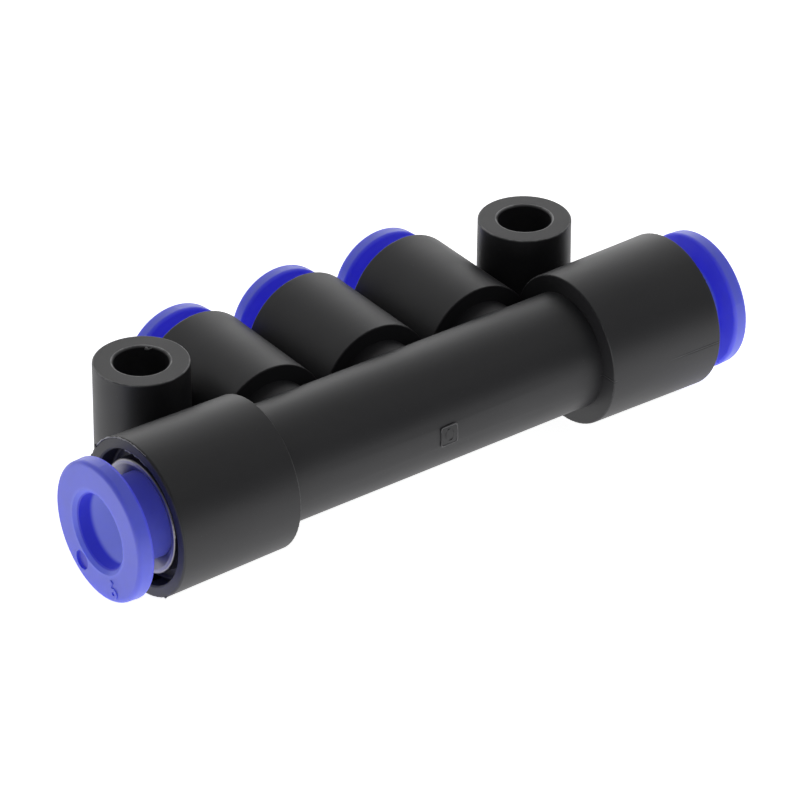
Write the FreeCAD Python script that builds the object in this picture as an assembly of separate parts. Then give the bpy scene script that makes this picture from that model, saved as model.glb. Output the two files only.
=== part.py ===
import FreeCAD, Part
import os
from collections import namedtuple
from math import acos, radians, sin, tan

# Push-in pneumatic manifold in millimetres. One moulded body carries a tube port
# for 6 mm tube at each end and three side ports for 4 mm tube.
# Origin: midway between the two mounting holes, in the plane of the boss undersides.
# +X runs along the body, +Y towards the side ports, +Z up along the mounting holes.

# Moulded body: mounting bosses
HOLE_SETBACK = 7.45        # from each end face to its mounting hole
HOLE_OFFSET = 9.9          # from the line of holes to the main axis
BOSS_HEIGHT = 13.1
BOSS_R = 3.85              # at the top
BOSS_DRAFT = 0.1           # how much wider a boss is at its foot
MOUNT_HOLE_R = 2.2
MOUNT_HOLE_CHAMFER = 0.15
WEB_THICK = 4.4            # web that ties each boss to the thick end beside it
WEB_HEIGHT = 5.0

# Moulded body: main tube and thick ends
SPINE_R = 4.9
END_LENGTH = 11.0
END_MERGE = 0.1            # how far the outer side ports run into the thick ends
PASSAGE_R = 2.2

# Moulded body: side ports, measured from the main axis
SIDE_SPACE = 0.95          # between the flanges of neighbouring side ports
SIDE_FACE_Y = 15.1
SIDE_LENGTH = 10.3
NECK_R = 3.85

# Taper and rounded edges of the moulding
PORT_DRAFT = 0.8           # degrees: every port grows wider towards its face
FACE_EDGE_ROUND = 0.18
MOUTH_EDGE_ROUND = 0.12
SHOULDER_EDGE_ROUND = 0.1
BOSS_EDGE_ROUND = 0.12
FLOOR_ROUND = 0.2
POCKET_LEAD = 0.3

# Blank raised pad on the main tube
PAD_X = -0.1
PAD_ANGLE = 1.0            # degrees above the level of the main axis, on the -Y side
PAD_WIDTH = 1.6
PAD_HEIGHT = 1.65
PAD_CORNER = 0.3
PAD_PROUD = 0.1

# Clearances, all radial
TUBE_CLEARANCE = 0.05      # every bore that guides a tube
SLEEVE_CLEARANCE = 0.04    # release ring sleeve in its collar
INSERT_CLEARANCE = 0.02    # inserts in the port bore
LIP_CLEARANCE = 0.15       # release ring lip in the collar's relief

# Clearances along a port's axis
LIP_GAP = 0.05             # lip to the collar's throat when the ring is out
NOSE_GAP = 0.15            # sleeve nose to the claws when the ring is out
STROKE_GAP = 0.05          # flange to the body when the ring is pressed in
NOSE_ROOM = 0.1            # sleeve nose to the back ring's floor when pressed in

# Release ring details
FLANGE_DRAFT = 0.08
FLANGE_FRONT_ROUND = 0.36
FLANGE_BACK_ROUND = 0.28
RING_FILLET = 0.25
RING_LEAD_IN = 0.4
RING_LEAD_DEPTH = 0.35
LIP_HEIGHT = 0.28
LIP_LENGTH = 0.6
NOSE_CHAMFER = 0.2
RING_SLOTS = 4
SLOT_WIDTH = 0.6
DIMPLE_R = 0.8
DIMPLE_DEPTH = 0.2
DIMPLE_ANGLE = 148.0
DIMPLE_GAP = 0.05          # from the edge of the lead-in

# Guide collar details
COLLAR_RIM = 0.38          # width of the rounded rim
COLLAR_CONE_DEPTH = 0.65
COLLAR_THROAT = 0.9

# Claw ring details
CLAW_RIM = 0.7
CLAW_SLOT_WIDTH = 0.34
CLAW_BEND = 0.1

# Back ring and seal details
BACK_WALL = 0.5
BACK_FLOOR = 0.4
BACK_THROAT = 0.1          # radial, tube to back ring floor
SEAL_BITE = 0.1            # radial, lip inside the tube's surface
SEAL_MOUTH = 0.45
SEAL_HEEL = 0.3
SEAL_GROOVE = 0.55         # share of the seal's length that the groove is deep

OVERRUN = 1.0              # how far cutting tools run past the faces they open

PortSize = namedtuple(
    "PortSize",
    "tube_r insert_room bore_wall face_wall mouth_depth stop_depth passage_r "
    "collar_recess collar_length claw_sheet claw_count claw_drop claw_bite seal_length "
    "ring_gap flange_thick flange_step sleeve_wall",
)

END_PORT = PortSize(
    tube_r=3.0,
    insert_room=1.7,
    bore_wall=1.66,
    face_wall=0.81,
    mouth_depth=1.6,
    stop_depth=13.2,
    passage_r=PASSAGE_R,
    collar_recess=0.3,
    collar_length=4.1,
    claw_sheet=0.22,
    claw_count=10,
    claw_drop=1.1,
    claw_bite=0.2,
    seal_length=1.6,
    ring_gap=2.15,
    flange_thick=1.4,
    flange_step=0.56,
    sleeve_wall=0.42,
)

SIDE_PORT = PortSize(
    tube_r=2.0,
    insert_room=1.6,
    bore_wall=1.6,
    face_wall=0.8,
    mouth_depth=1.3,
    stop_depth=12.2,
    passage_r=1.4,
    collar_recess=0.25,
    collar_length=3.4,
    claw_sheet=0.16,
    claw_count=8,
    claw_drop=0.95,
    claw_bite=0.15,
    seal_length=1.3,
    ring_gap=1.9,
    flange_thick=1.4,
    flange_step=0.5,
    sleeve_wall=0.4,
)

# Radii and depths in one port. Depths run inwards from the port's face.

def bore_r(size):
    """Radius of the bore that holds the collar, claws, back ring and seal."""
    return size.tube_r + size.insert_room


def body_r(size):
    """Outer radius of the body round the port, at the inner end of its taper."""
    return bore_r(size) + size.bore_wall


def face_r(size, length):
    """Outer radius at the face of a port that tapers over a length."""
    return body_r(size) + length * tan(radians(PORT_DRAFT))


def mouth_r(size):
    """Radius of the open mouth round the collar."""
    return body_r(size) - size.face_wall


def flange_r(size):
    """Outer radius of the release ring's flange."""
    return body_r(size) - size.flange_step


def insert_r(size):
    """Outer radius of what sits in the port bore."""
    return bore_r(size) - INSERT_CLEARANCE


def tube_bore_r(size):
    """Radius of a bore that guides the tube."""
    return size.tube_r + TUBE_CLEARANCE


def sleeve_r(size):
    """Outer radius of the release ring's sleeve."""
    return tube_bore_r(size) + size.sleeve_wall


def dimple_place(size):
    """Distance of the dimple from the port's axis, just outside the ring's lead-in."""
    return tube_bore_r(size) + RING_LEAD_IN + DIMPLE_GAP + DIMPLE_R


def stroke(size):
    """Travel of the release ring, until its flange meets the body."""
    return size.ring_gap - STROKE_GAP


def collar_end(size):
    """Depth of the collar's inner end."""
    return size.collar_recess + size.collar_length


def throat_end(size):
    """Depth at which the collar's throat opens into its relief."""
    return size.collar_recess + COLLAR_CONE_DEPTH + COLLAR_THROAT


def claw_end(size):
    """Depth of the claw ring's clamped rim on its inner side."""
    return collar_end(size) + size.claw_sheet


def claw_root_r(size):
    """Radius where the claws bend away from the rim."""
    return insert_r(size) - CLAW_RIM


def nose_depth(size):
    """Depth of the sleeve's nose when the ring is out, just short of the claws."""
    tip_r = size.tube_r - size.claw_bite
    slope = size.claw_drop / (claw_root_r(size) - tip_r)
    touch_r = sleeve_r(size) - NOSE_CHAMFER
    return collar_end(size) + (claw_root_r(size) - touch_r) * slope - NOSE_GAP


def back_floor(size):
    """Depth of the back ring's floor, clear of the pressed nose."""
    return nose_depth(size) + stroke(size) + NOSE_ROOM


def back_end(size):
    """Depth of the back ring's inner end."""
    return back_floor(size) + BACK_FLOOR


def seal_end(size):
    """Depth of the step that the seal rests on."""
    return back_end(size) + size.seal_length


# Places that follow from the sizes above
AXIS_Z = BOSS_HEIGHT / 2
AXIS_Y = -HOLE_OFFSET
SIDE_PITCH = 2 * flange_r(SIDE_PORT) + SIDE_SPACE
SHOULDER_X = SIDE_PITCH + body_r(SIDE_PORT) - END_MERGE
END_FACE_X = SHOULDER_X + END_LENGTH
HOLE_X = END_FACE_X - HOLE_SETBACK

X_AXIS = FreeCAD.Vector(1, 0, 0)
Y_AXIS = FreeCAD.Vector(0, 1, 0)
Z_AXIS = FreeCAD.Vector(0, 0, 1)

# Each port: name, size, centre of its face, way its tube leaves, turn of its release ring
Port = namedtuple("Port", "name size centre outward ring_turn")


def list_ports():
    """The two end ports and the three side ports."""
    ports = [
        Port("end_a", END_PORT, FreeCAD.Vector(-END_FACE_X, AXIS_Y, AXIS_Z), -X_AXIS, 0.0),
        Port("end_b", END_PORT, FreeCAD.Vector(END_FACE_X, AXIS_Y, AXIS_Z), X_AXIS, 70.0),
    ]
    for number in range(3):
        centre = FreeCAD.Vector((number - 1) * SIDE_PITCH, AXIS_Y + SIDE_FACE_Y, AXIS_Z)
        ports.append(Port(f"side_{number + 1}", SIDE_PORT, centre, Y_AXIS, 40.0 * number))
    return ports


# Turned shapes

def corner_arc(before, corner, after, rounding):
    """Start, middle and end of the arc that rounds one corner, kept within its two sides."""
    back = before - corner
    ahead = after - corner
    shorter = min(back.Length, ahead.Length)
    back.normalize()
    ahead.normalize()
    half = acos(max(-1.0, min(1.0, back.dot(ahead)))) / 2
    reach = min(rounding / tan(half), 0.45 * shorter)
    radius = reach * tan(half)
    inwards = (back + ahead).normalize()
    centre = corner + inwards * (radius / sin(half))
    return corner + back * reach, centre - inwards * radius, corner + ahead * reach


def outline(corners):
    """Closed wire through (radius, height, rounding) corners, in the XZ plane."""
    points = [FreeCAD.Vector(r, 0, z) for r, z, _ in corners]
    count = len(corners)
    arcs = []
    for i, (_, _, rounding) in enumerate(corners):
        if rounding > 0:
            arcs.append(corner_arc(points[i - 1], points[i], points[(i + 1) % count], rounding))
        else:
            arcs.append((points[i], None, points[i]))
    edges = []
    for i, (start, middle, end) in enumerate(arcs):
        if middle is not None:
            edges.append(Part.Arc(start, middle, end).toShape())
        following = arcs[(i + 1) % count][0]
        edges.append(Part.LineSegment(end, following).toShape())
    return Part.Wire(edges)


def turned(corners):
    """Solid of revolution about Z of an outline given as (radius, height, rounding)."""
    return Part.Face(outline(corners)).revolve(FreeCAD.Vector(), Z_AXIS, 360)


def placed(shape, centre, outward, turn=0.0):
    """A copy with its +Z along outward and its origin at centre, turned about that axis."""
    up = X_AXIS if abs(outward.z) > 0.5 else Z_AXIS
    aim = FreeCAD.Rotation(up, FreeCAD.Vector(), outward, "ZXY")
    spin = FreeCAD.Rotation(Z_AXIS, turn)
    moved = shape.copy()
    moved.Placement = FreeCAD.Placement(centre, aim.multiply(spin))
    return moved


# Moulded body

def spine_outside():
    """Main tube with its two thick ends, solid, along Z."""
    upper = [
        (SPINE_R, SHOULDER_X, 0),
        (body_r(END_PORT), SHOULDER_X, SHOULDER_EDGE_ROUND),
        (face_r(END_PORT, END_LENGTH), END_FACE_X, FACE_EDGE_ROUND),
        (0, END_FACE_X, 0),
    ]
    lower = [(radius, -z, rounding) for radius, z, rounding in reversed(upper)]
    return placed(turned(lower + upper), FreeCAD.Vector(0, AXIS_Y, AXIS_Z), X_AXIS)


def side_port_outside(port):
    """Thick cylinder of one side port on its slimmer neck."""
    size = port.size
    corners = [
        (0, 0, 0),
        (0, -SIDE_FACE_Y, 0),
        (NECK_R, -SIDE_FACE_Y, 0),
        (NECK_R, -SIDE_LENGTH, 0),
        (body_r(size), -SIDE_LENGTH, SHOULDER_EDGE_ROUND),
        (face_r(size, SIDE_LENGTH), 0, FACE_EDGE_ROUND),
    ]
    return placed(turned(corners), port.centre, port.outward)


def boss_outside(x):
    """One mounting boss with the web that ties it to the thick end."""
    corners = [
        (0, 0, 0),
        (BOSS_R + BOSS_DRAFT, 0, BOSS_EDGE_ROUND),
        (BOSS_R, BOSS_HEIGHT, BOSS_EDGE_ROUND),
        (0, BOSS_HEIGHT, 0),
    ]
    boss = placed(turned(corners), FreeCAD.Vector(x, 0, 0), Z_AXIS)
    corner = FreeCAD.Vector(x - WEB_THICK / 2, AXIS_Y, AXIS_Z - WEB_HEIGHT / 2)
    web = Part.makeBox(WEB_THICK, HOLE_OFFSET, WEB_HEIGHT, corner)
    return boss.fuse(web)


def mount_hole(x):
    """Cutting tool for one mounting hole, with a chamfer at each end."""
    wide = MOUNT_HOLE_R + MOUNT_HOLE_CHAMFER
    top = BOSS_HEIGHT
    corners = [
        (0, -OVERRUN, 0),
        (wide, -OVERRUN, 0),
        (wide, 0, 0),
        (MOUNT_HOLE_R, MOUNT_HOLE_CHAMFER, 0),
        (MOUNT_HOLE_R, top - MOUNT_HOLE_CHAMFER, 0),
        (wide, top, 0),
        (wide, top + OVERRUN, 0),
        (0, top + OVERRUN, 0),
    ]
    return placed(turned(corners), FreeCAD.Vector(x, 0, 0), Z_AXIS)


def port_cavity(port, reach):
    """Cutting tool for the inside of one port, down to the passage at depth reach."""
    size = port.size
    mouth = mouth_r(size)
    pocket = tube_bore_r(size)
    step = seal_end(size)
    corners = [
        (0, OVERRUN, 0),
        (mouth + MOUTH_EDGE_ROUND + OVERRUN, OVERRUN, 0),
        (mouth + MOUTH_EDGE_ROUND, 0, 0),
        (mouth, -MOUTH_EDGE_ROUND, 0),
        (mouth, -size.mouth_depth, FLOOR_ROUND),
        (bore_r(size), -size.mouth_depth, 0),
        (bore_r(size), -step, 0),
        (pocket + POCKET_LEAD, -step, 0),
        (pocket, -step - POCKET_LEAD, 0),
        (pocket, -size.stop_depth, 0),
        (size.passage_r, -size.stop_depth, 0),
        (size.passage_r, -reach, 0),
        (0, -reach, 0),
    ]
    return placed(turned(corners), port.centre, port.outward)


def blank_pad():
    """Low raised pad with round corners, bent round the main tube."""
    half_w = PAD_WIDTH / 2
    half_h = PAD_HEIGHT / 2
    plate = Part.makeBox(PAD_WIDTH, PAD_HEIGHT, SPINE_R + PAD_PROUD, FreeCAD.Vector(-half_w, -half_h, 0))
    long_edges = [e for e in plate.Edges if abs(e.tangentAt(e.FirstParameter).z) > 0.9]
    plate = plate.makeFillet(PAD_CORNER, long_edges)
    plate.Placement = FreeCAD.Placement(
        FreeCAD.Vector(PAD_X, AXIS_Y, AXIS_Z),
        FreeCAD.Rotation(X_AXIS, 90.0 - PAD_ANGLE),
    )
    skin_start = FreeCAD.Vector(PAD_X - PAD_WIDTH, AXIS_Y, AXIS_Z)
    skin = Part.makeCylinder(SPINE_R + PAD_PROUD, 2 * PAD_WIDTH, skin_start, X_AXIS)
    return plate.common(skin)


def moulded_body(ports):
    """The one-piece body: spine, side ports, bosses and every hole in them."""
    added = [side_port_outside(port) for port in ports if port.size is SIDE_PORT]
    added += [boss_outside(-HOLE_X), boss_outside(HOLE_X), blank_pad()]
    holes = [mount_hole(-HOLE_X), mount_hole(HOLE_X)]
    for port in ports:
        reach = END_FACE_X if port.size is END_PORT else SIDE_FACE_Y
        holes.append(port_cavity(port, reach))
    solid = spine_outside().multiFuse(added).removeSplitter()
    return solid.cut(Part.makeCompound(holes)).removeSplitter()


# Pieces in each port, along Z with the port's face at height zero

def release_ring(size):
    """Flanged sleeve that is pressed in to free the tube."""
    inner = tube_bore_r(size)
    outer = sleeve_r(size)
    back = size.ring_gap
    front = back + size.flange_thick
    lip = throat_end(size) + LIP_GAP
    nose = nose_depth(size)
    corners = [
        (inner, front - RING_LEAD_DEPTH, 0),
        (inner, -nose, 0),
        (outer - NOSE_CHAMFER, -nose, 0),
        (outer, -nose + NOSE_CHAMFER, 0),
        (outer, -lip - LIP_LENGTH, 0),
        (outer + LIP_HEIGHT, -lip - LIP_LENGTH / 3, 0),
        (outer + LIP_HEIGHT, -lip, 0),
        (outer, -lip, 0),
        (outer, back, RING_FILLET),
        (flange_r(size), back, FLANGE_BACK_ROUND),
        (flange_r(size) - FLANGE_DRAFT, front, FLANGE_FRONT_ROUND),
        (inner + RING_LEAD_IN, front, 0),
    ]
    ring = turned(corners)
    slot_top = -throat_end(size) + COLLAR_THROAT / 2
    slots = []
    for number in range(RING_SLOTS // 2):
        length = 2 * (outer + LIP_HEIGHT + OVERRUN)
        slot = Part.makeBox(
            length,
            SLOT_WIDTH,
            slot_top + nose + OVERRUN,
            FreeCAD.Vector(-length / 2, -SLOT_WIDTH / 2, -nose - OVERRUN),
        )
        slot.rotate(FreeCAD.Vector(), Z_AXIS, number * 360.0 / RING_SLOTS)
        slots.append(slot)
    dimple = Part.makeCylinder(
        DIMPLE_R,
        DIMPLE_DEPTH + OVERRUN,
        FreeCAD.Vector(dimple_place(size), 0, front - DIMPLE_DEPTH),
    )
    dimple.rotate(FreeCAD.Vector(), Z_AXIS, DIMPLE_ANGLE)
    return ring.cut(Part.makeCompound(slots)).cut(dimple)


def guide_collar(size):
    """Metal collar pressed into the mouth: it guides the sleeve and holds back its lip."""
    outer = insert_r(size)
    throat = sleeve_r(size) + SLEEVE_CLEARANCE
    relief = sleeve_r(size) + LIP_HEIGHT + LIP_CLEARANCE
    top = -size.collar_recess
    corners = [
        (outer, top, COLLAR_RIM / 2),
        (outer - COLLAR_RIM, top, COLLAR_RIM / 2),
        (throat, top - COLLAR_CONE_DEPTH, 0),
        (throat, -throat_end(size), 0),
        (relief, -throat_end(size), 0),
        (relief, -collar_end(size), 0),
        (outer, -collar_end(size), 0),
    ]
    return turned(corners)


def claw_ring(size):
    """Spring steel ring: a flat clamped rim and slanted claws that bite the tube."""
    rim = insert_r(size)
    root = claw_root_r(size)
    tip = size.tube_r - size.claw_bite
    top = -collar_end(size)
    sheet = size.claw_sheet
    corners = [
        (rim, top, 0),
        (root, top, CLAW_BEND),
        (tip, top - size.claw_drop, 0),
        (tip + sheet, top - size.claw_drop - sheet, 0),
        (root + sheet / 2, top - sheet, CLAW_BEND),
        (rim, top - sheet, 0),
    ]
    ring = turned(corners)
    slot_end = root + sheet
    tall = size.claw_drop + 2 * OVERRUN
    base = top - size.claw_drop - OVERRUN
    slots = []
    for number in range(size.claw_count):
        slot = Part.makeBox(slot_end, CLAW_SLOT_WIDTH, tall, FreeCAD.Vector(0, -CLAW_SLOT_WIDTH / 2, base))
        tail = Part.makeCylinder(CLAW_SLOT_WIDTH / 2, tall, FreeCAD.Vector(slot_end, 0, base))
        for tool in (slot, tail):
            tool.rotate(FreeCAD.Vector(), Z_AXIS, number * 360.0 / size.claw_count)
            slots.append(tool)
    return ring.cut(slots)


def back_ring(size):
    """Cup behind the claws: it clamps their rim and keeps them off the seal."""
    outer = insert_r(size)
    corners = [
        (outer, -claw_end(size), 0),
        (outer - BACK_WALL, -claw_end(size), 0),
        (outer - BACK_WALL, -back_floor(size), 0),
        (size.tube_r + BACK_THROAT, -back_floor(size), 0),
        (size.tube_r + BACK_THROAT, -back_end(size), 0),
        (outer, -back_end(size), 0),
    ]
    return turned(corners)


def tube_seal(size):
    """Rubber cup seal: a lip that leans inwards, and a groove that pressure opens."""
    outer = insert_r(size)
    top = -back_end(size)
    bottom = -seal_end(size)
    lip = size.tube_r - SEAL_BITE
    groove_top = bottom + SEAL_GROOVE * size.seal_length
    middle = (lip + SEAL_HEEL + outer - SEAL_HEEL) / 2
    corners = [
        (outer, top, 0),
        (lip + SEAL_MOUTH, top, 0),
        (lip, bottom + SEAL_HEEL, 0.1),
        (lip + SEAL_HEEL, bottom, 0.1),
        (middle, groove_top, 0.1),
        (outer - SEAL_HEEL, bottom, 0.1),
        (outer, bottom + SEAL_HEEL / 2, 0),
    ]
    return turned(corners)


def build():
    """Every node by name."""
    ports = list_ports()
    nodes = {"body": moulded_body(ports)}
    makers = {
        "release_ring": release_ring,
        "guide_collar": guide_collar,
        "claw_ring": claw_ring,
        "back_ring": back_ring,
        "tube_seal": tube_seal,
    }
    for port in ports:
        for piece, make in makers.items():
            turn = port.ring_turn if piece == "release_ring" else 0.0
            nodes[f"{port.name}_{piece}"] = placed(make(port.size), port.centre, port.outward, turn)
    return nodes


def only_solid(shape):
    """The one solid in a shape."""
    return shape.Solids[0] if len(shape.Solids) == 1 else shape


os.makedirs("parts", exist_ok=True)
for name, shape in build().items():
    only_solid(shape).exportStep(f"parts/{name}.step")
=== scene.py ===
"""Looks of the push-in manifold: one black moulding and five tube ports with blue rings."""

import logging
import math
from dataclasses import dataclass
from enum import Enum

import bmesh
import bpy
from mathutils import Matrix, Vector, noise


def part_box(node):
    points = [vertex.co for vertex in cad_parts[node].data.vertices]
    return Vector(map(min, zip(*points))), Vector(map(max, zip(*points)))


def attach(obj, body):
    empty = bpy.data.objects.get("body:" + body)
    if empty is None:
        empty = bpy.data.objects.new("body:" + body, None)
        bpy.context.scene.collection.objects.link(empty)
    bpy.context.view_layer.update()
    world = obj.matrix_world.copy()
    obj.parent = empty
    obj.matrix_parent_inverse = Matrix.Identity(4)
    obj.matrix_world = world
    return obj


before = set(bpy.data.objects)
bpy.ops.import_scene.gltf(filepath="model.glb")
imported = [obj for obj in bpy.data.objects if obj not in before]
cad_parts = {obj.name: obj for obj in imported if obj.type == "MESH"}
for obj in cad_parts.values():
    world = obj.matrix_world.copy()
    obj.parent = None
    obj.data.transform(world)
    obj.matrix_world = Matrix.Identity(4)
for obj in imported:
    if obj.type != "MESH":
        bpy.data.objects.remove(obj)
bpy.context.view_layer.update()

log = logging.getLogger("manifold")
logging.basicConfig(level=logging.INFO, format="%(message)s")

MM = 0.001
UP = Vector((0.0, 0.0, 1.0))
ALONG = Vector((1.0, 0.0, 0.0))
BACKWARDS = Vector((0.0, 1.0, 0.0))

# The main tube's axis, in millimetres of the frame.
TUBE_Y = -9.9
TUBE_Z = 6.55
# Half the width of a fold that is wider than the object, in millimetres.
UNFOLDED = 1000.0
# Share of a font's size that its numerals stand high.
NUMERAL_SHARE = 0.7

Number = float | int
Triple = tuple[float, float, float]
Colour = tuple[float, float, float]
Step = tuple[float, float]

EVEN: Triple = (1.0, 1.0, 1.0)


@dataclass(frozen=True)
class Clouds:
    """Noise: clouds in a millimetre, octaves, share of each finer octave, and squeeze by axis."""

    per_mm: float
    detail: float = 2.0
    rough: float = 0.5
    squeeze: Triple = EVEN


class Socket:
    """One output of a shader node that takes part in sums."""

    def __init__(self, graph: "Graph", link: bpy.types.NodeSocket) -> None:
        """Wraps a node's output.

        Args:
            graph: the graph that new nodes are added to.
            link: the output socket.
        """
        self.graph = graph
        self.link = link

    def __add__(self, other: "Socket | Number") -> "Socket":
        """Sum."""
        return self.graph.number("ADD", self, other)

    __radd__ = __add__

    def __sub__(self, other: "Socket | Number") -> "Socket":
        """Difference."""
        return self.graph.number("SUBTRACT", self, other)

    def __rsub__(self, other: "Socket | Number") -> "Socket":
        """Difference, with this value taken away."""
        return self.graph.number("SUBTRACT", other, self)

    def __mul__(self, other: "Socket | Number") -> "Socket":
        """Product."""
        return self.graph.number("MULTIPLY", self, other)

    __rmul__ = __mul__

    def __abs__(self) -> "Socket":
        """Size without sign."""
        return self.graph.number("ABSOLUTE", self)

    def rise(self, start: Number, end: Number) -> "Socket":
        """A soft step.

        Args:
            start: where the step leaves 0.
            end: where it reaches 1.

        Returns:
            The step's height, from 0 to 1.
        """
        settings = {"interpolation_type": "SMOOTHSTEP"}
        sockets = {"Value": self, "From Min": start, "From Max": end}
        return self.graph.add("ShaderNodeMapRange", settings, sockets, "Result")

    def past(self, place: Number, step: Step) -> "Socket":
        """A soft step whose start and end are measured from a place."""
        return self.rise(place + step[0], place + step[1])

    def line(self, place: Number, half_width: Number) -> "Socket":
        """A soft band round one value.

        Args:
            place: the middle of the band.
            half_width: distance from the middle at which it has faded out.

        Returns:
            1 in the middle and 0 outside.
        """
        return 1 - abs(self - place).rise(0.0, half_width)


class Graph:
    """The node graph of one material."""

    def __init__(self, name: str) -> None:
        """Makes an empty material.

        Args:
            name: the material's name.
        """
        self.material = bpy.data.materials.new(name)
        self.material.use_nodes = True
        self.tree = self.material.node_tree
        self.tree.nodes.clear()

    def add(
        self,
        kind: str,
        settings: dict[str, object],
        sockets: dict[str | int, object],
        result: str | int = 0,
    ) -> Socket | None:
        """Adds one node.

        Args:
            kind: the node's type.
            settings: its options, set first.
            sockets: values or links of its inputs, by name or number.
            result: name or number of the output that is wanted.

        Returns:
            That output, or None for a node that has none.
        """
        node = self.tree.nodes.new(kind)
        for name, value in settings.items():
            setattr(node, name, value)
        for name, value in sockets.items():
            if isinstance(value, Socket):
                self.tree.links.new(value.link, node.inputs[name])
            else:
                node.inputs[name].default_value = value
        return Socket(self, node.outputs[result]) if node.outputs else None

    def number(self, operation: str, *values: Socket | Number) -> Socket:
        """Adds a Math node.

        Args:
            operation: the node's operation.
            values: its inputs in order.

        Returns:
            The node's result.
        """
        return self.add("ShaderNodeMath", {"operation": operation}, dict(enumerate(values)))

    def vector(self, operation: str, *values: object) -> Socket:
        """Adds a Vector Math node.

        Args:
            operation: the node's operation.
            values: its inputs in order, as links or three numbers.

        Returns:
            The vector that it gives.
        """
        return self.add("ShaderNodeVectorMath", {"operation": operation}, dict(enumerate(values)))

    def place(self) -> Socket:
        """The point on the piece, in millimetres of the frame."""
        metres = self.add("ShaderNodeTexCoord", {}, {}, "Object")
        return self.vector("MULTIPLY", metres, (1 / MM, 1 / MM, 1 / MM))

    def reach(self, vector: Socket, way: Vector) -> Socket:
        """How far a vector reaches along a unit vector."""
        node = {"operation": "DOT_PRODUCT"}
        return self.add("ShaderNodeVectorMath", node, {0: vector, 1: tuple(way)}, "Value")

    def length(self, vector: Socket) -> Socket:
        """The length of a vector."""
        return self.add("ShaderNodeVectorMath", {"operation": "LENGTH"}, {0: vector}, "Value")

    def noise(self, where: Socket, clouds: Clouds) -> Socket:
        """Cloudy noise.

        Args:
            where: the point it is read at, in millimetres.
            clouds: the noise's settings.

        Returns:
            A value near 0.5, from 0 to 1.
        """
        if clouds.squeeze != EVEN:
            where = self.vector("MULTIPLY", where, clouds.squeeze)
        sockets = {
            "Vector": where,
            "Scale": clouds.per_mm,
            "Detail": clouds.detail,
            "Roughness": clouds.rough,
        }
        return self.add("ShaderNodeTexNoise", {}, sockets)

    def blend(self, amount: Socket, low: Colour | Socket, high: Colour | Socket) -> Socket:
        """Mixes two colours.

        Args:
            amount: 0 for the first colour, 1 for the second.
            low: the first colour, as three numbers or a link.
            high: the second colour.

        Returns:
            The mixed colour.
        """
        settings = {"data_type": "RGBA", "clamp_factor": True}
        first, second = (c if isinstance(c, Socket) else (*c, 1.0) for c in (low, high))
        return self.add("ShaderNodeMix", settings, {0: amount, 6: first, 7: second}, 2)

    def relief(self, height: Socket, normal: Socket | None = None) -> Socket:
        """A normal bent by a height.

        Args:
            height: the height in millimetres.
            normal: the normal to bend, or None for the mesh's own.

        Returns:
            The bent normal.
        """
        sockets = {"Height": height * MM, "Strength": 1.0, "Distance": 1.0}
        if normal is not None:
            sockets["Normal"] = normal
        return self.add("ShaderNodeBump", {}, sockets)

    def finish(self, **sockets: object) -> bpy.types.Material:
        """Adds the shader and the output.

        Args:
            sockets: values or links of the shader's inputs, with _ for a space in a name.

        Returns:
            The finished material.
        """
        named = {name.replace("_", " "): value for name, value in sockets.items()}
        shader = self.add("ShaderNodeBsdfPrincipled", {}, named)
        self.add("ShaderNodeOutputMaterial", {"target": "ALL"}, {"Surface": shader})
        return self.material


class Way(Enum):
    """The way a port's tube leaves."""

    BACK = (-1.0, 0.0, 0.0)
    FRONT = (1.0, 0.0, 0.0)
    SIDE = (0.0, 1.0, 0.0)


@dataclass(frozen=True)
class Axis:
    """A port's axis: the middle of the body's face there, in millimetres, and the way out."""

    centre: Vector
    way: Vector

    def out(self, g: Graph, point: Socket) -> Socket:
        """How far a point lies outside the face."""
        return g.reach(g.vector("SUBTRACT", point, tuple(self.centre)), self.way)

    def radius(self, g: Graph, point: Socket) -> Socket:
        """How far a point lies from the axis."""
        return g.length(self.spoke(g, point))

    def spoke(self, g: Graph, point: Socket) -> Socket:
        """The vector from the axis straight out to a point."""
        off = g.vector("SUBTRACT", point, tuple(self.centre))
        return g.vector("MULTIPLY", off, tuple(1.0 - abs(c) for c in self.way))

    def turned_normal(self, g: Graph, point: Socket, normal: Socket, side: float) -> Socket:
        """The normal of a round surface about the axis.

        Args:
            g: the graph that the nodes are added to.
            point: the point on the surface.
            normal: the mesh's normal there, which gives the slope along the axis.
            side: 1 for an outer surface, -1 for the wall of a hole.

        Returns:
            The normal of the true round shape.
        """
        slope = g.vector("MULTIPLY", normal, tuple(abs(c) for c in self.way))
        outwards = g.vector("NORMALIZE", self.spoke(g, point))
        facing = g.vector("MULTIPLY", outwards, (side, side, side))
        return g.vector("NORMALIZE", g.vector("ADD", facing, slope))


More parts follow.
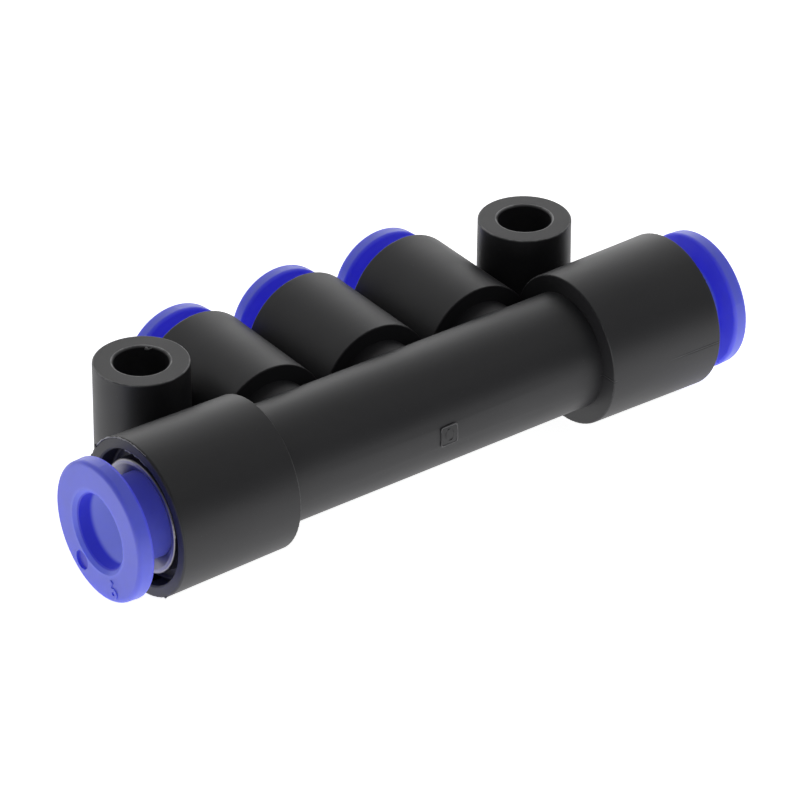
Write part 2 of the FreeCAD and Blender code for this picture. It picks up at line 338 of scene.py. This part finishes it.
@dataclass(frozen=True)
class Moulding:
    """Satin black plastic with grain, flow marks, a parting line, light handling marks and a
    painted highlight along the edges of the boss tops.

    Places are in millimetres of the frame.
    """

    name: str
    parting_height: float
    shade: Colour = (0.0162, 0.0160, 0.0185)
    worn_shade: Colour = (0.034, 0.034, 0.037)
    roughness: float = 0.50
    ior: float = 1.53

    grain: Clouds = Clouds(7.0, 3.0, 0.6)
    grain_depth: float = 0.0016
    grain_dulls: float = 0.05
    flow: Clouds = Clouds(0.32, 3.0, 0.55, (0.35, 1.0, 1.0))
    flow_depth: float = 0.006
    flow_dulls: float = 0.10
    shading: Clouds = Clouds(0.12)
    shading_wear: float = 0.45
    marks: Clouds = Clouds(1.7, 4.0, 0.7, (0.5, 2.4, 3.1))
    marks_step: Step = (0.66, 0.78)
    marks_depth: float = 0.003
    marks_wear: float = 0.5
    marks_dull: float = 0.08
    specks: Clouds = Clouds(5.5, 1.0)
    specks_step: Step = (0.74, 0.80)
    specks_wear: float = 0.9

    seam_width: float = 0.09
    seam_rise: float = 0.026
    seam_shown: Step = (20.5, 24.0)
    seam_behind: Step = (-8.0, -5.0)
    seam_patches: Clouds = Clouds(0.35, 3.0)
    patches_step: Step = (0.35, 0.65)
    shoulder: float = 15.45
    shoulder_reach: float = 0.5

    tube: Axis = Axis(Vector((0.0, TUBE_Y, TUBE_Z)), ALONG)
    side: Axis = Axis(Vector((0.0, 0.0, TUBE_Z)), BACKWARDS)
    side_pitch: float = 10.35
    top_slope: float = 0.95
    upper_half: Step = (0.0, 0.5)
    tube_strip: Step = (1.0, 1.4)
    side_strip: Step = (0.9, 1.3)
    side_span: Step = (12.0, 12.4)
    side_start: Step = (-5.2, -4.9)

    # Painted highlight: a pale line round each boss top and its hole, standing in for the glint
    # of the rounded edges.
    edge_painted_highlight: Colour = (0.48, 0.48, 0.49)
    edge_highlight_breaks: Clouds = Clouds(1.1, 3.0)
    edge_highlight_breaks_step: Step = (0.4, 0.6)
    hole_x: float = 19.0
    hole_edge: float = 2.33
    hole_edge_width: float = 0.13
    boss_edge: float = 3.80
    boss_edge_width: float = 0.12
    boss_edge_share: float = 0.6
    boss_top: float = 13.1
    boss_top_depth: float = 0.16

    def painted_edge_highlight(self, g: Graph, p: Socket) -> Socket:
        """How much a point belongs to the painted highlight along the edges on top of a boss.

        Args:
            g: the graph that the nodes are added to.
            p: the point on the piece, in millimetres.

        Returns:
            1 on the edge and 0 away from it.
        """
        across = abs(g.reach(p, ALONG)) - self.hole_x
        off = g.add("ShaderNodeCombineXYZ", {}, {"X": across, "Y": g.reach(p, BACKWARDS)})
        radius = g.length(off)
        hole = radius.line(self.hole_edge, self.hole_edge_width)
        rim = radius.line(self.boss_edge, self.boss_edge_width)
        # Noise breaks the painted highlight into patches.
        wear = 0.5 + 0.5 * g.noise(p, self.edge_highlight_breaks).rise(*self.edge_highlight_breaks_step)
        top = g.reach(p, UP).line(self.boss_top, self.boss_top_depth)
        return (hole + self.boss_edge_share * rim) * wear * top

    def even_normal(self, g: Graph, p: Socket) -> Socket:
        """The normal, made even along the top of each cylinder, where its mesh is joined.

        Args:
            g: the graph that the nodes are added to.
            p: the point on the piece, in millimetres.

        Returns:
            The normal.
        """
        normal = g.add("ShaderNodeNewGeometry", {}, {}, "Normal")
        rise, full = g.reach(normal, UP), 1 - (1 - self.top_slope) / 3
        above = g.reach(p, UP).past(self.tube.centre.z, self.upper_half)
        outer = rise.rise(self.top_slope, full)
        inner = (0 - rise).rise(self.top_slope, full) * above
        half = self.side_pitch / 2
        high, low = (half, UNFOLDED, UNFOLDED), (-half, -UNFOLDED, -UNFOLDED)
        folded = g.vector("WRAP", p, high, low)
        beside = 1 - abs(g.reach(p, BACKWARDS) - self.tube.centre.y).rise(*self.tube_strip)
        between = 1 - abs(g.reach(p, ALONG)).rise(*self.side_span)
        outwards = g.reach(p, BACKWARDS).rise(*self.side_start)
        over = (1 - abs(g.reach(folded, ALONG)).rise(*self.side_strip)) * between * outwards
        for axis, point, near in ((self.tube, p, beside), (self.side, folded, over)):
            for side, wall in ((1.0, outer), (-1.0, inner)):
                turned = axis.turned_normal(g, point, normal, side)
                change = g.vector("SUBTRACT", turned, normal)
                normal = g.vector("MULTIPLY_ADD", change, near * wall, normal)
        return g.vector("NORMALIZE", normal)

    def seam(self, g: Graph, p: Socket) -> Socket:
        """The parting line, which shows near the far end, at its shoulder and behind.

        Args:
            g: the graph that the nodes are added to.
            p: the point on the piece, in millimetres.

        Returns:
            Its height in millimetres: a ridge with a groove below it.
        """
        z, along = g.reach(p, UP), g.reach(p, ALONG)
        ridge = z.line(self.parting_height, self.seam_width)
        groove = z.line(self.parting_height - self.seam_width, self.seam_width)
        back = g.reach(p, BACKWARDS).rise(*self.seam_behind)
        patches = g.noise(p, self.seam_patches).rise(*self.patches_step)
        far = along.rise(*self.seam_shown) + along.line(self.shoulder, self.shoulder_reach)
        return self.seam_rise * (far + back * patches) * (ridge - groove)

    def material(self) -> bpy.types.Material:
        """Makes the material.

        Returns:
            The finished material.
        """
        g = Graph(self.name)
        p = g.place()
        grain = g.noise(p, self.grain)
        flow = g.noise(p, self.flow)
        marks = g.noise(p, self.marks).rise(*self.marks_step)
        specks = g.noise(p, self.specks).rise(*self.specks_step)
        relief = self.grain_depth * grain + self.flow_depth * flow - self.marks_depth * marks
        worn = self.shading_wear * g.noise(p, self.shading)
        worn = worn + self.marks_wear * marks + self.specks_wear * specks
        base = g.blend(worn, self.shade, self.worn_shade)
        dull = self.roughness + self.flow_dulls * (flow - 0.5) + self.grain_dulls * (grain - 0.5)
        return g.finish(
            # The painted highlight along the boss edges is mixed over the base colour.
            Base_Color=g.blend(self.painted_edge_highlight(g, p), base, self.edge_painted_highlight),
            Roughness=dull + self.marks_dull * marks,
            Normal=g.relief(relief + self.seam(g, p), self.even_normal(g, p)),
            IOR=self.ior,
        )


@dataclass(frozen=True)
class RingPlastic:
    """Blue plastic that lets light through, with painted shade in the bore and the dimple,
    painted light in the thin sleeve and a painted glow (emission) for the light it lets through.

    The radii bore and neck are from the ring's axis, gap and front are outside the body's face,
    and each step is measured from one of them. All are in millimetres.
    """

    name: str
    axis: Axis
    dimple: Axis
    bore: float
    neck: float
    gap: float
    front: float

    shade: Colour = (0.115, 0.135, 0.66)
    pale_share: float = 1.10
    deep_share: float = 0.89
    # Painted shade: dark base colours in the bore and the dimple. Painted light: the paler base
    # colour of the thin sleeve.
    bore_painted_shade: Colour = (0.020, 0.024, 0.46)
    sleeve_painted_light: Colour = (0.115, 0.135, 0.50)
    dimple_painted_shade: Colour = (0.030, 0.034, 0.45)

    # Painted glow: emission colours that stand in for light let through the plastic, region by
    # region, strongest at the flange's back.
    face_painted_glow: Colour = (0.016, 0.020, 0.100)
    rim_painted_glow: Colour = (0.020, 0.026, 0.145)
    rear_painted_glow: Colour = (0.008, 0.006, 0.280)
    neck_painted_glow: Colour = (0.013, 0.014, 0.010)
    root_painted_glow: Colour = (0.028, 0.040, 0.150)
    bore_painted_glow: Colour = (0.014, 0.016, 0.18)
    sleeve_painted_glow: Colour = (0.105, 0.120, 0.24)
    dimple_painted_glow: Colour = (0.012, 0.012, 0.14)

    bore_step: Step = (0.05, 0.16)
    neck_step: Step = (0.05, 0.30)
    sleeve_step: Step = (-0.35, 0.15)
    root_step: Step = (-1.5, 0.1)
    rear_step: Step = (0.05, 0.45)
    face_step: Step = (-0.30, -0.05)
    dimple_step: Step = (0.74, 0.86)
    dimple_depth: float = 0.22
    dimple_band: float = 0.20

    cloud: Clouds = Clouds(0.55, 3.0, 0.55)
    cloud_depth: float = 0.003
    grain: Clouds = Clouds(9.0)
    grain_depth: float = 0.0012
    roughness: float = 0.42
    ior: float = 1.48
    inner_share: float = 0.6
    spread: Colour = (0.25, 0.30, 2.2)

    def material(self) -> bpy.types.Material:
        """Makes the material.

        Returns:
            The finished material.
        """
        g = Graph(self.name)
        p = g.place()
        out, radius = self.axis.out(g, p), self.axis.radius(g, p)
        inside = 1 - radius.past(self.bore, self.bore_step)
        flange = radius.past(self.neck, self.neck_step)
        thin = 1 - out.past(self.gap, self.sleeve_step)
        root = out.past(self.gap, self.root_step)
        rear = 1 - out.past(self.gap, self.rear_step)
        face = out.past(self.front, self.face_step)
        sunk = out.line(self.front - self.dimple_depth, self.dimple_band)
        round_pit = 1 - self.dimple.radius(g, p).rise(*self.dimple_step)
        pit = sunk.rise(0.0, self.dimple_band) * round_pit
        cloud, grain = g.noise(p, self.cloud), g.noise(p, self.grain)
        pale = tuple(self.pale_share * c for c in self.shade)
        deep = tuple(self.deep_share * c for c in self.shade)
        # Random tone on the outer surfaces, with painted shade in the dimple.
        outside = g.blend(pit, g.blend(cloud, deep, pale), self.dimple_painted_shade)
        # Bore wall: painted shade deep in, painted light in the thin sleeve.
        wall = g.blend(thin, self.bore_painted_shade, self.sleeve_painted_light)
        # Painted glow for each region of the ring.
        wall_painted_glow = g.blend(thin, self.bore_painted_glow, self.sleeve_painted_glow)
        rim_painted_glow = g.blend(rear, self.rim_painted_glow, self.rear_painted_glow)
        front_painted_glow = g.blend(face, rim_painted_glow, self.face_painted_glow)
        flange_painted_glow = g.blend(pit, front_painted_glow, self.dimple_painted_glow)
        neck_painted_glow = g.blend(root, self.neck_painted_glow, self.root_painted_glow)
        outside_painted_glow = g.blend(flange, neck_painted_glow, flange_painted_glow)
        return g.finish(
            Base_Color=g.blend(inside, outside, wall),
            Roughness=self.roughness + 0.08 * (cloud - 0.5) + 0.04 * (grain - 0.5),
            Normal=g.relief(self.grain_depth * grain + self.cloud_depth * cloud),
            IOR=self.ior,
            Subsurface_Weight=self.inner_share,
            Subsurface_Radius=self.spread,
            Subsurface_Scale=MM,
            # Painted glow: emission in place of light let through the blue plastic.
            Emission_Color=g.blend(inside, outside_painted_glow, wall_painted_glow),
            Emission_Strength=1.0,
        )


class Grade(Enum):
    """How a steel piece was left: depth of its marks in millimetres, and roughness."""

    TURNED = (0.0030, 0.40)
    STRIP = (0.0006, 0.22)


@dataclass(frozen=True)
class Steel:
    """Stainless steel with fine marks round the port's axis."""

    name: str
    axis: Axis
    grade: Grade
    shade: Colour = (0.43, 0.42, 0.43)
    dull_shade: Colour = (0.25, 0.245, 0.255)
    lines: Clouds = Clouds(14.0, 3.0, 0.7)
    cloud: Clouds = Clouds(0.8, 3.0, 0.6)

    def material(self) -> bpy.types.Material:
        """Makes the material.

        Returns:
            The finished material.
        """
        g = Graph(self.name)
        p = g.place()
        depth, roughness = self.grade.value
        ring = self.axis.radius(g, p) + self.axis.out(g, p)
        lines = g.noise(g.add("ShaderNodeCombineXYZ", {}, {"X": ring}), self.lines)
        cloud = g.noise(p, self.cloud)
        return g.finish(
            Base_Color=g.blend(0.7 * cloud + 0.3 * lines, self.dull_shade, self.shade),
            Metallic=1.0,
            Roughness=roughness + 0.16 * (lines - 0.5) + 0.10 * (cloud - 0.5),
            Normal=g.relief(depth * lines),
        )


@dataclass(frozen=True)
class NaturalAcetal:
    """White plastic of the back rings, a little yellow and waxy."""

    shade: Colour = (0.74, 0.73, 0.69)
    shadow_shade: Colour = (0.62, 0.61, 0.56)
    cloud: Clouds = Clouds(0.9, 3.0)
    grain: Clouds = Clouds(8.0)
    grain_depth: float = 0.002
    roughness: float = 0.42

    def material(self) -> bpy.types.Material:
        """Makes the material.

        Returns:
            The finished material.
        """
        g = Graph("natural_acetal")
        p = g.place()
        grain = g.noise(p, self.grain)
        return g.finish(
            Base_Color=g.blend(g.noise(p, self.cloud), self.shadow_shade, self.shade),
            Roughness=self.roughness + 0.1 * (grain - 0.5),
            Normal=g.relief(self.grain_depth * grain),
        )


@dataclass(frozen=True)
class SealRubber:
    """Black nitrile rubber with a pale bloom."""

    shade: Colour = (0.012, 0.012, 0.012)
    bloom_shade: Colour = (0.035, 0.035, 0.034)
    bloom: Clouds = Clouds(1.2, 4.0, 0.6)
    bloom_step: Step = (0.45, 0.8)
    grain: Clouds = Clouds(12.0)
    grain_depth: float = 0.002
    roughness: float = 0.52

    def material(self) -> bpy.types.Material:
        """Makes the material.

        Returns:
            The finished material.
        """
        g = Graph("seal_rubber")
        p = g.place()
        bloom = g.noise(p, self.bloom)
        return g.finish(
            Base_Color=g.blend(bloom.rise(*self.bloom_step), self.shade, self.bloom_shade),
            Roughness=self.roughness + 0.2 * (bloom - 0.5),
            Normal=g.relief(self.grain_depth * g.noise(p, self.grain)),
        )


@dataclass(frozen=True)
class PaleFloor:
    """Matt white sheet of a photo table that is lit from below."""

    shade: Colour = (0.90, 0.90, 0.90)
    dark_share: float = 0.985
    cloud: Clouds = Clouds(0.004)
    roughness: float = 0.7
    glow: float = 0.94

    def material(self) -> bpy.types.Material:
        """Makes the material.

        Returns:
            The finished material.
        """
        g = Graph("pale_floor")
        darker = tuple(self.dark_share * c for c in self.shade)
        return g.finish(
            Base_Color=g.blend(g.noise(g.place(), self.cloud), darker, self.shade),
            Roughness=self.roughness,
            Emission_Color=(1.0, 1.0, 1.0, 1.0),
            Emission_Strength=self.glow,
        )


def show(thing: bpy.types.Object) -> None:
    """Puts an object into the scene."""
    bpy.context.scene.collection.objects.link(thing)


def mesh_of(curve: bpy.types.Curve) -> bpy.types.Mesh:
    """Makes a curve or a text a mesh of the same name.

    Args:
        curve: the curve or text.

    Returns:
        The mesh.
    """
    maker = bpy.data.objects.new("maker", curve)
    mesh = bpy.data.meshes.new_from_object(maker)
    bpy.data.objects.remove(maker)
    mesh.name = curve.name
    return mesh


def dress(node: str, material: bpy.types.Material) -> None:
    """Gives a carried-over node its material.

    Args:
        node: the node's name.
        material: what it is made of.
    """
    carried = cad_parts[node]
    carried.data.materials.clear()
    carried.data.materials.append(material)
    log.info("%s: dressed in %s", node, material.name)


def add_piece(mesh: bpy.types.Mesh, body: str, material: bpy.types.Material) -> None:
    """Makes a piece of a finished mesh, by the mesh's name, and lets it ride.

    Args:
        mesh: its mesh, in metres of the frame.
        body: the body that carries it.
        material: what it is made of.
    """
    mesh.materials.clear()
    mesh.materials.append(material)
    piece = bpy.data.objects.new(mesh.name, mesh)
    show(piece)
    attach(piece, body)
    log.info("%s: %d faces, rides on %s", piece.name, len(mesh.polygons), body)


@dataclass(frozen=True)
class RingSize:
    """What a tube size gives its release ring: the plain number, and lengths in millimetres."""

    number: str
    number_height: float
    bore: float
    neck: float
    gap: float
    dimple_place: float


class TubeSize(Enum):
    """The tube sizes that the ports take."""

    SIX = RingSize("6", number_height=1.4, bore=3.05, neck=3.47, gap=2.15, dimple_place=4.3)
    FOUR = RingSize("4", number_height=1.1, bore=2.05, neck=2.45, gap=1.9, dimple_place=3.3)


@dataclass
class Port:
    """One tube port: its release ring with a number, guide collar, claws, back ring and seal.

    Lengths are in millimetres and turns in degrees.
    """

    name: str
    way: Way
    tube: TubeSize
    ring_turn: float
    number_turn: float
    number_place: float
    number_proud: float = 0.10
    number_sink: float = 0.06
    number_bold: float = 0.03
    number_steps: int = 6
    bevel_steps: int = 2
    dimple_turn: float = 148.0

    def axis(self) -> Axis:
        """Reads the port's axis from the body and the collar.

        Returns:
            The axis.
        """
        way = Vector(self.way.value)
        low, high = (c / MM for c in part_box(f"{self.name}_guide_collar"))
        middle = (low + high) / 2
        body_low, body_high = (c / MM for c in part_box("body"))
        face = max(body_low.dot(way), body_high.dot(way))
        return Axis(middle + way * (face - middle.dot(way)), way)

    def ring_front(self) -> float:
        """Measures how far the ring's face stands outside the body's.

        Returns:
            The distance in millimetres.
        """
        axis = self.axis()
        low, high = (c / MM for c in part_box(f"{self.name}_release_ring"))
        return max((c - axis.centre).dot(axis.way) for c in (low, high))

    def dimple(self) -> Axis:
        """Finds the dimple in the ring's face.

        Returns:
            The dimple's axis.
        """
        axis = self.axis()
        turn = math.radians(self.ring_turn) + math.radians(self.dimple_turn)
        spoke = math.cos(turn) * UP + math.sin(turn) * axis.way.cross(UP)
        face = axis.centre + axis.way * self.ring_front()
        return Axis(face + spoke * self.tube.value.dimple_place, axis.way)

    def make_number(self, material: bpy.types.Material) -> None:
        """Raises the tube size on the ring's face, its foot towards the rim.

        Args:
            material: the ring's own plastic.
        """
        axis = self.axis()
        text = bpy.data.curves.new(f"{self.name}_number", "FONT")
        text.body = self.tube.value.number
        text.align_x, text.align_y = "CENTER", "CENTER"
        text.bevel_depth = self.number_proud / 3
        text.extrude = (self.number_proud + self.number_sink) / 2 - text.bevel_depth
        text.bevel_resolution = self.bevel_steps
        text.resolution_u = self.number_steps
        text.offset = self.number_bold
        text.size = self.tube.value.number_height / NUMERAL_SHARE
        mesh = mesh_of(text)
        aim = math.radians(self.number_turn)
        spoke = math.cos(aim) * UP.cross(axis.way) + math.sin(aim) * UP
        right = (-spoke).cross(axis.way)
        lift = self.ring_front() + (self.number_proud - self.number_sink) / 2
        origin = axis.centre + axis.way * lift + spoke * self.number_place
        turn = Matrix((right, -spoke, axis.way)).transposed().to_4x4()
        mesh.transform(Matrix.Scale(MM, 4) @ Matrix.Translation(origin) @ turn)
        add_piece(mesh, f"{self.name}_ring", material)

    def build(self, acetal: bpy.types.Material, rubber: bpy.types.Material) -> None:
        """Dresses the port's nodes and adds the number.

        Args:
            acetal: material of the back ring.
            rubber: material of the seal.
        """
        axis, size = self.axis(), self.tube.value
        blue = RingPlastic(
            f"{self.name}_blue",
            axis,
            self.dimple(),
            bore=size.bore,
            neck=size.neck,
            gap=size.gap,
            front=self.ring_front(),
        ).material()
        collar = Steel(f"{self.name}_collar", axis, Grade.TURNED).material()
        claws = Steel(f"{self.name}_claws", axis, Grade.STRIP).material()
        dress(f"{self.name}_release_ring", blue)
        dress(f"{self.name}_guide_collar", collar)
        dress(f"{self.name}_claw_ring", claws)
        dress(f"{self.name}_back_ring", acetal)
        dress(f"{self.name}_tube_seal", rubber)
        self.make_number(blue)


@dataclass(frozen=True)
class Flash:
    """A thin ragged line of plastic, left where mould parts met or where the gate was torn off.

    Lengths are in millimetres, and the line's thickness swings about a usual share of its own.
    """

    name: str
    path: list[Vector]
    thickness: float
    waver: float
    closed: bool = False
    waves_per_mm: float = 2.6
    least_share: float = 0.25
    usual_share: float = 0.7
    swing: float = 1.2
    bevel_steps: int = 2
    seed: int = 5

    def build(self, material: bpy.types.Material) -> None:
        """Makes the line and fixes it to the moulding.

        Args:
            material: the torn plastic.
        """
        noise.seed_set(self.seed)
        line = bpy.data.curves.new(self.name, "CURVE")
        line.dimensions = "3D"
        line.bevel_depth = self.thickness / 2
        line.bevel_resolution = self.bevel_steps
        line.use_fill_caps = not self.closed
        run = line.splines.new("POLY")
        run.use_cyclic_u = self.closed
        run.points.add(len(self.path) - 1)
        for point, place in zip(run.points, self.path):
            where = place * self.waves_per_mm
            share = self.usual_share + self.swing * noise.noise(where)
            point.co = (*(place + self.waver * noise.noise_vector(where)), 1.0)
            point.radius = min(1.0, max(self.least_share, share))
        mesh = mesh_of(line)
        mesh.transform(Matrix.Scale(MM, 4))
        add_piece(mesh, "manifold", material)


@dataclass
class Manifold:
    """The whole object: the moulding and its five ports.

    Lengths are in millimetres and angles in degrees.
    """

    tube_radius: float = 4.9
    pad_x: float = -0.1
    pad_rise: float = 0.09
    pad_proud: float = 0.09
    pad_points: int = 48
    near_face: float = -26.45
    burr_back: float = 0.1
    mouth_back: float = 0.12
    edge_points: int = 41
    chip_x: float = -17.36
    chip_y: float = 1.38
    chip_z: float = 12.88
    chip_step: Triple = (0.11, -0.08, 0.06)
    side_ring_step: float = 40.0
    side_number_place: float = 3.45

    def ports(self) -> list[Port]:
        """Lists the ports.

        Returns:
            The two end ports and then the three side ports.
        """
        ends = [
            Port(name, way, TubeSize.SIX, ring_turn, number_turn, number_place)
            for name, way, ring_turn, number_turn, number_place in (
                ("end_a", Way.BACK, 0.0, -65.5, 4.68),
                ("end_b", Way.FRONT, 70.0, 40.0, 4.5),
            )
        ]
        sides = [
            Port(
                f"side_{i + 1}",
                Way.SIDE,
                TubeSize.FOUR,
                ring_turn=self.side_ring_step * i,
                number_turn=number_turn,
                number_place=self.side_number_place,
            )
            for i, number_turn in enumerate((-60.0, -20.0, 20.0))
        ]
        return ends + sides

    def pad_path(self, half_width: float, half_height: float, corner: float) -> list[Vector]:
        """Points round a rounded square on the front of the main tube.

        Args:
            half_width: half its width along the tube.
            half_height: half its height.
            corner: radius of its corners.

        Returns:
            The points, in millimetres.
        """
        points = []
        for i in range(self.pad_points):
            turn = 2 * math.pi * (i + 0.5) / self.pad_points
            x = math.copysign(half_width - corner, math.cos(turn)) + corner * math.cos(turn)
            z = math.copysign(half_height - corner, math.sin(turn)) + corner * math.sin(turn)
            height = z + self.pad_rise
            depth = math.sqrt(self.tube_radius**2 - height**2) + self.pad_proud
            points.append(Vector((self.pad_x + x, TUBE_Y - depth, TUBE_Z + height)))
        return points

    def edge_path(self, x: float, radius: float, start: float, end: float) -> list[Vector]:
        """Points along a round edge of the near face.

        Args:
            x: where the edge lies along the tube.
            radius: the edge's radius.
            start: angle at which the line starts.
            end: angle at which it ends.

        Returns:
            The points, in millimetres.
        """
        points = []
        for i in range(self.edge_points):
            turn = math.radians(start + (end - start) * i / (self.edge_points - 1))
            y, z = TUBE_Y + radius * math.cos(turn), TUBE_Z + radius * math.sin(turn)
            points.append(Vector((x, y, z)))
        return points

    def chip_path(self) -> list[Vector]:
        """Points along the chip at the edge of a boss's hole.

        Returns:
            The points, in millimetres.
        """
        right, back, lift = self.chip_step
        return [
            Vector((self.chip_x + right * i, self.chip_y + back * i, self.chip_z + lift * abs(i)))
            for i in range(-2, 3)
        ]

    def build(self) -> None:
        """Dresses and completes every piece."""
        low, high = (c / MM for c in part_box("body"))
        parting = (low.z + high.z) / 2
        black = Moulding("black_moulding", parting).material()
        dress("body", black)
        # Pale plastic of the torn flash and the hole's chip: a painted highlight for the glints
        # on these burrs.
        torn_with_highlight = Moulding(
            "torn_plastic_painted_highlight",
            parting,
            shade=(0.22, 0.22, 0.225),
            worn_shade=(0.55, 0.55, 0.56),
            roughness=0.42,
        ).material()
        # Pale plastic of the pad's outline: a painted highlight for the light line along the
        # pad's raised edge.
        worn = Moulding(
            "pad_outline_painted_highlight",
            parting,
            shade=(0.07, 0.07, 0.075),
            worn_shade=(0.20, 0.20, 0.205),
            roughness=0.42,
        ).material()
        pad = self.pad_path(half_width=0.80, half_height=0.825, corner=0.22)
        gate = self.pad_path(half_width=0.38, half_height=0.50, corner=0.34)
        face = self.near_face
        rim, mouth = face + self.burr_back, face + self.mouth_back
        for flash, finish in (
            (Flash("pad_flash", pad, 0.15, 0.05, closed=True), worn),
            (Flash("gate_scar", gate, 0.10, 0.09, closed=True), black),
            (Flash("face_flash", self.edge_path(face, 6.48, 38.0, 104.0), 0.14, 0.05), torn_with_highlight),
            (Flash("edge_burr", self.edge_path(rim, 6.54, 14.0, 36.0), 0.28, 0.08), black),
            (Flash("low_burr", self.edge_path(rim, 6.50, 233.0, 237.0), 0.18, 0.04), black),
            (Flash("mouth_flash", self.edge_path(mouth, 5.52, 76.0, 110.0), 0.15, 0.03), torn_with_highlight),
            (Flash("hole_chip", self.chip_path(), 0.26, 0.03), torn_with_highlight),
        ):
            flash.build(finish)
        acetal = NaturalAcetal().material()
        rubber = SealRubber().material()
        for port in self.ports():
            port.build(acetal, rubber)


@dataclass(frozen=True)
class SoftBox:
    """One square soft box that points at the object, placed by compass and height in degrees."""

    azimuth: float
    height: float
    brightness: float
    distance: float = 0.8
    side: float = 0.42

    def build(self, aim: Vector) -> None:
        """Hangs the soft box.

        Args:
            aim: the point that it faces, in metres.
        """
        name = f"soft_box_{self.azimuth:03.0f}_{self.height:02.0f}"
        lamp = bpy.data.lights.new(name, "AREA")
        lamp.size = self.side
        lamp.energy = math.pi * self.side**2 * self.brightness
        turn, lift = math.radians(self.azimuth), math.radians(self.height)
        level = math.cos(lift)
        way = Vector((level * math.cos(turn), level * math.sin(turn), math.sin(lift)))
        holder = bpy.data.objects.new(name, lamp)
        holder.location = aim + way * self.distance
        holder.rotation_euler = (-way).to_track_quat("-Z", "Y").to_euler()
        show(holder)
        log.info("%s: lit", name)


@dataclass
class Studio:
    """Glowing floor, soft boxes and the camera at the photo's angle.

    Lengths are in metres, those of the camera's lens and sensor in millimetres.
    """

    eye: Vector
    aim: Vector
    roll: float
    lens: float
    boxes: tuple[SoftBox, ...]
    sensor: float = 36.0
    nearest: float = 0.01
    farthest: float = 50.0
    floor_radius: float = 6.0
    floor_sides: int = 96
    sky: float = 0.06

    def make_floor(self) -> None:
        """Lays the floor under the bosses."""
        shape = bmesh.new()
        bmesh.ops.create_circle(
            shape, cap_ends=True, segments=self.floor_sides, radius=self.floor_radius
        )
        mesh = bpy.data.meshes.new("floor")
        shape.to_mesh(mesh)
        shape.free()
        mesh.materials.append(PaleFloor().material())
        floor = bpy.data.objects.new("floor", mesh)
        floor.location.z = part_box("body")[0].z
        show(floor)

    def make_camera(self) -> None:
        """Sets the camera where the photo was taken from."""
        data = bpy.data.cameras.new("camera")
        data.sensor_width = self.sensor
        data.lens = self.lens
        data.clip_start, data.clip_end = self.nearest, self.farthest
        forward = (self.aim - self.eye).normalized()
        level = forward.cross(UP).normalized()
        rise = level.cross(forward)
        right = math.cos(self.roll) * level + math.sin(self.roll) * rise
        top = right.cross(forward)
        turn = Matrix((right, top, -forward)).transposed().to_4x4()
        camera = bpy.data.objects.new("camera", data)
        camera.matrix_world = Matrix.Translation(self.eye) @ turn
        show(camera)
        bpy.context.scene.camera = camera

    def make_sky(self) -> None:
        """Lights the room evenly from all sides."""
        world = bpy.data.worlds.new("studio")
        world.use_nodes = True
        background = world.node_tree.nodes["Background"]
        background.inputs["Color"].default_value = (self.sky, self.sky, self.sky, 1.0)
        bpy.context.scene.world = world
        bpy.context.scene.view_settings.view_transform = "Standard"

    def build(self) -> None:
        """Sets up the whole studio."""
        self.make_floor()
        self.make_sky()
        self.make_camera()
        for box in self.boxes:
            box.build(self.aim)


def photo_studio() -> Studio:
    """Sets out the photo's light: a bright wall behind and little in front.

    Returns:
        The studio, with the camera worked out from the photo's edges.
    """
    wall = (
        SoftBox(30, 12, 0.97),
        SoftBox(60, 12, 2.01),
        SoftBox(90, 12, 0.80),
        SoftBox(120, 12, 0.16),
        SoftBox(150, 12, 0.22),
        SoftBox(0, 38, 0.24),
        SoftBox(36, 38, 0.91),
        SoftBox(72, 38, 0.76),
        SoftBox(108, 38, 0.72),
        SoftBox(144, 38, 0.39),
    )
    front = (
        SoftBox(216, 38, 0.21),
        SoftBox(252, 38, 0.13),
        SoftBox(288, 38, 0.08),
        SoftBox(324, 38, 0.53),
        SoftBox(0, 64, 0.45),
        SoftBox(60, 64, 0.10),
        SoftBox(300, 64, 0.36),
    )
    return Studio(
        eye=Vector((-0.192604, -0.262827, 0.201013)),
        aim=Vector((0.000065, -0.008191, 0.00655)),
        roll=math.radians(0.1602),
        lens=211.856,
        boxes=wall + front,
    )


def main() -> None:
    """Builds the object and the studio."""
    Manifold().build()
    photo_studio().build()


if __name__ == "__main__":
    main()
